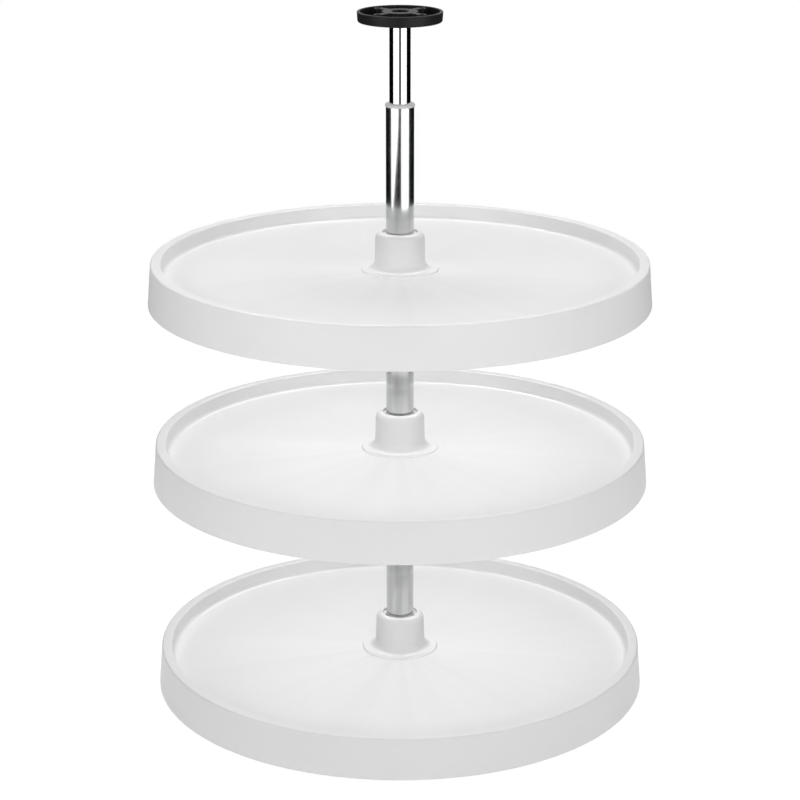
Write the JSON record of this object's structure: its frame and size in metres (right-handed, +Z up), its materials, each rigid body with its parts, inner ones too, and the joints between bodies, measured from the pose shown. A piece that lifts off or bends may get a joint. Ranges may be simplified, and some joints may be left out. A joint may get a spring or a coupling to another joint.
{
  "type": "corner carousel shelf unit",
  "caption": "Corner cabinet carousel: round moulded trays that turn one by one on ball bearings along a telescoping twist-lock post, between a base mount and a top mount.",
  "frame": {"origin": "centre of the base mount's face that is screwed to the cabinet floor, on the post's axis", "axes": "+Z up along the post's axis, towards the top mount; the cross pins lie along X; -Y faces the viewer of the picture"},
  "size_m": [0.457, 0.457, 0.6372],
  "materials": {
    "tray_plastic": "fine matte moulded",
    "chrome_tube": "polished chrome plate",
    "mount_plastic": "satin moulded",
    "bush_nylon": "smooth moulded",
    "race_nylon": "smooth moulded",
    "ball_steel": "polished balls",
    "zinc_steel": "bright zinc plate"
  },
  "bodies": {
    "post": {"base_mount": "mount_plastic", "lower_tube": "chrome_tube", "tube_bush": "bush_nylon", "bottom_pin": "zinc_steel", "middle_pin": "zinc_steel", "top_pin": "zinc_steel", "bottom_post_race": "race_nylon", "middle_post_race": "race_nylon", "top_post_race": "race_nylon"},
    "upper_post": {"upper_tube": "chrome_tube", "lock_core": "zinc_steel"},
    "cam_ring": {"lock_cam": "race_nylon"},
    "ceiling_mount": {"top_mount": "mount_plastic"},
    "bottom_tray": {"bottom_shelf": "tray_plastic", "bottom_shelf_race": "race_nylon"},
    "middle_tray": {"middle_shelf": "tray_plastic", "middle_shelf_race": "race_nylon"},
    "top_tray": {"top_shelf": "tray_plastic", "top_shelf_race": "race_nylon"},
    "bottom_bearing": {"bottom_balls": "ball_steel", "bottom_ball_cage": "race_nylon"},
    "middle_bearing": {"middle_balls": "ball_steel", "middle_ball_cage": "race_nylon"},
    "top_bearing": {"top_balls": "ball_steel", "top_ball_cage": "race_nylon"}
  },
  "joints": [
    {"name": "bottom_tray_turn", "type": "hinge", "parent": "post", "child": "bottom_tray", "pos_m": [0, 0, 0.0289], "axis": [0, 0, 1], "continuous": true},
    {"name": "middle_tray_turn", "type": "hinge", "parent": "post", "child": "middle_tray", "pos_m": [0, 0, 0.2289], "axis": [0, 0, 1], "continuous": true},
    {"name": "top_tray_turn", "type": "hinge", "parent": "post", "child": "top_tray", "pos_m": [0, 0, 0.3989], "axis": [0, 0, 1], "continuous": true},
    {"name": "bottom_bearing_roll", "type": "hinge", "parent": "post", "child": "bottom_bearing", "pos_m": [0, 0, 0.0289], "axis": [0, 0, 1], "continuous": true},
    {"name": "middle_bearing_roll", "type": "hinge", "parent": "post", "child": "middle_bearing", "pos_m": [0, 0, 0.2289], "axis": [0, 0, 1], "continuous": true},
    {"name": "top_bearing_roll", "type": "hinge", "parent": "post", "child": "top_bearing", "pos_m": [0, 0, 0.3989], "axis": [0, 0, 1], "continuous": true},
    {"name": "post_extend", "type": "slide", "parent": "post", "child": "upper_post", "axis": [0, 0, 1], "range_m": [-0.05, 0.066]},
    {"name": "cam_turn", "type": "hinge", "parent": "upper_post", "child": "cam_ring", "pos_m": [0.0009, 0, 0.4562], "axis": [0, 0, 1], "range_deg": [-180, 0]},
    {"name": "top_mount_swivel", "type": "hinge", "parent": "upper_post", "child": "ceiling_mount", "pos_m": [0, 0, 0.6342], "axis": [0, 0, 1], "continuous": true}
  ],
  "couplings": [
    {"joint": "bottom_bearing_roll", "follows": "bottom_tray_turn", "ratio": 0.5},
    {"joint": "middle_bearing_roll", "follows": "middle_tray_turn", "ratio": 0.5},
    {"joint": "top_bearing_roll", "follows": "top_tray_turn", "ratio": 0.5}
  ]
}
